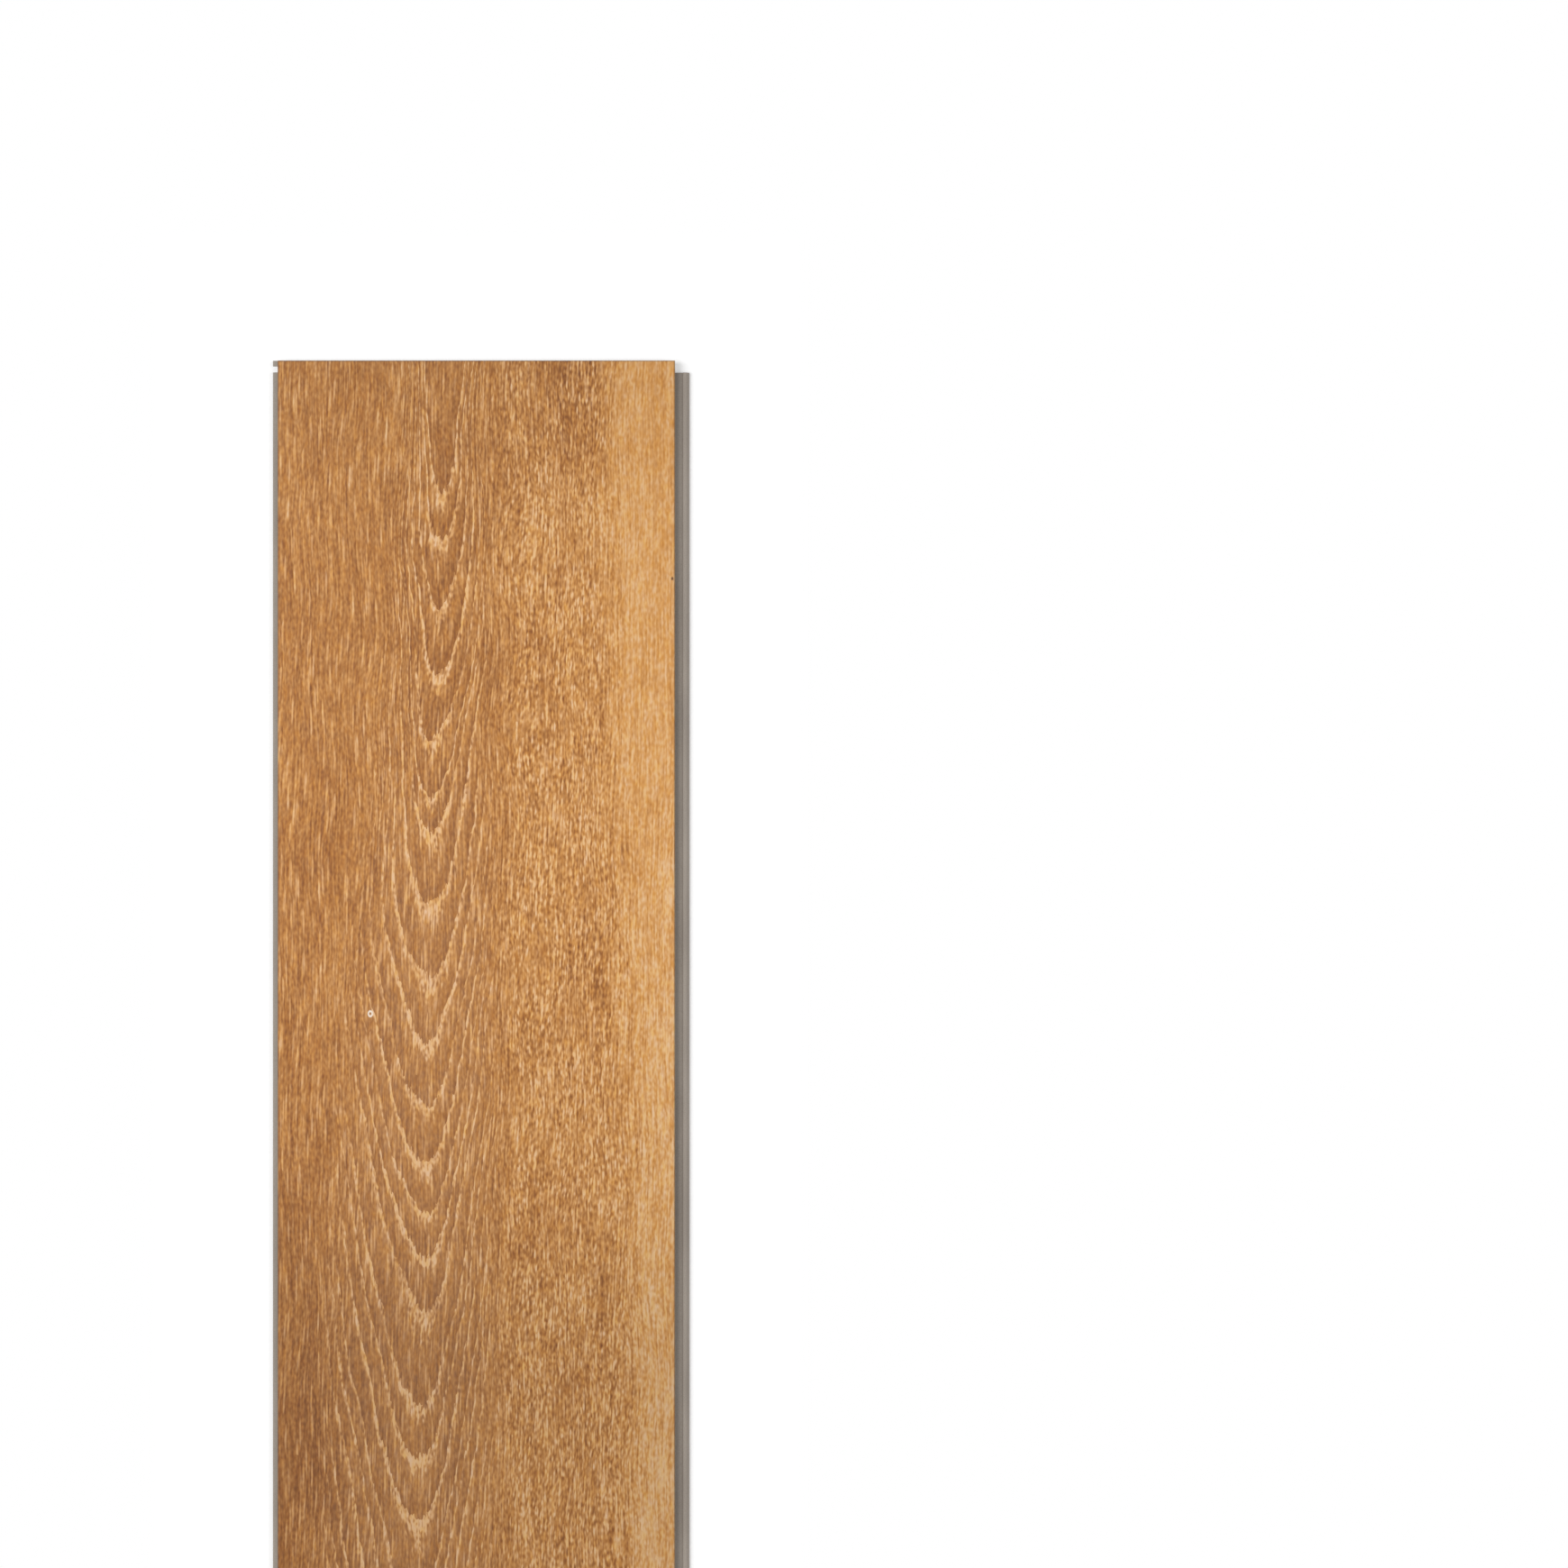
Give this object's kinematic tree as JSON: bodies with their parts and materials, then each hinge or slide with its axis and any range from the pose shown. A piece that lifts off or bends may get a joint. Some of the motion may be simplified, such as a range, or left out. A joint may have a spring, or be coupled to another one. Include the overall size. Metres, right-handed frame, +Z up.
{
  "type": "luxury vinyl plank",
  "caption": "Flat vinyl floor plank with a wood-look wear face, bevelled top edges, a tongue and a locking lip along its sides and drop-lock hooks on its ends.",
  "frame": {"origin": "middle of the rectangle that the plank covers when laid, on the underside", "axes": "+Z up out of the wear face, +Y along the plank towards its drop-hook end, +X across it towards the groove side"},
  "size_m": [0.1889, 1.225, 0.005],
  "materials": {
    "vinyl": "satin wear layer over an oak print, with grain pressed in, on a dense vinyl board"
  },
  "bodies": {
    "root": {"plank": "vinyl"}
  },
  "joints": []
}
